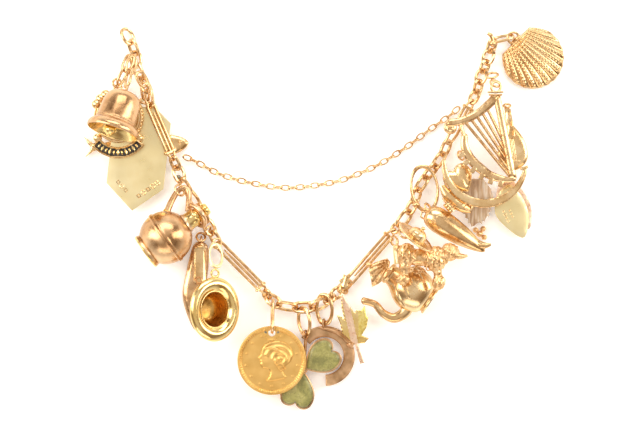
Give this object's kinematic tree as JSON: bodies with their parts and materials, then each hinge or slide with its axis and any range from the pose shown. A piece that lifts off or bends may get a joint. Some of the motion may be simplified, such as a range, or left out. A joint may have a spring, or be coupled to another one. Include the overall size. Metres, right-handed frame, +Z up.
{
  "type": "gold charm bracelet with fetter-link chain and safety chain",
  "caption": "Gold charm bracelet laid out flat, unclasped, with a fetter-link chain, a fine safety chain and a mix of novelty charms.",
  "frame": {"origin": "centre of the laid-out bracelet on the surface that it lies on", "axes": "+Z up out of the surface, +Y towards the two open ends, +X towards the end with the swivel"},
  "size_m": [0.1277, 0.1015, 0.0201],
  "materials": {
    "pale_gold": "polished 9 carat yellow-rose gold, lightly worn",
    "rose_gold": "polished 9 carat rose gold, lightly worn",
    "yellow_gold": "polished yellow gold",
    "coin_gold": "struck 22 carat gold, satin field",
    "lemon_gold": "satin pale gold sheet",
    "dark_enamel": "dark blue-black vitreous enamel",
    "green_marble": "polished green marble with darker veins",
    "crystal": "translucent greyish-rose crystal"
  },
  "bodies": {
    "root": {"end_ring": "pale_gold", "links_1": "pale_gold", "links_2": "pale_gold", "fetter_1": "pale_gold", "links_3": "pale_gold", "links_4": "pale_gold", "links_5": "pale_gold", "fetter_2": "pale_gold", "links_6": "pale_gold", "link_7": "pale_gold", "link_8": "pale_gold", "links_9": "pale_gold", "links_10": "pale_gold", "fetter_3": "pale_gold", "links_11": "pale_gold", "links_12": "pale_gold", "links_13": "pale_gold", "links_14": "pale_gold", "square_link": "pale_gold", "fetter_4": "pale_gold", "links_15": "pale_gold", "links_16": "pale_gold", "links_17": "pale_gold", "swivel": "pale_gold", "ball_flask": "pale_gold", "kettle": "pale_gold", "wire_loop": "pale_gold", "crescent_hoop": "pale_gold", "fiddle": "pale_gold", "scallop_shell": "pale_gold", "shamrock_ring": "pale_gold", "horseshoe_ring": "pale_gold", "safety_chain": "rose_gold", "bell": "rose_gold", "shoe": "rose_gold", "coin_bail": "rose_gold", "shamrock_mount": "rose_gold", "horseshoe": "rose_gold", "ridged_fan": "rose_gold", "poodle": "rose_gold", "petal_back": "rose_gold", "tiny_curl": "rose_gold", "bell_clapper": "yellow_gold", "crest_frame": "yellow_gold", "fish": "yellow_gold", "bowler_hat": "yellow_gold", "maple_leaf": "yellow_gold", "sun_hat": "yellow_gold", "clog": "yellow_gold", "puffed_heart": "yellow_gold", "harp": "yellow_gold", "coin": "coin_gold", "hexagon_tag": "lemon_gold", "hat_ring": "lemon_gold", "petal_front": "lemon_gold", "crest_enamel": "dark_enamel", "shamrock_stone_1": "green_marble", "shamrock_stone_2": "green_marble", "shamrock_stone_3": "green_marble", "crystal_leaf": "crystal"}
  },
  "joints": []
}
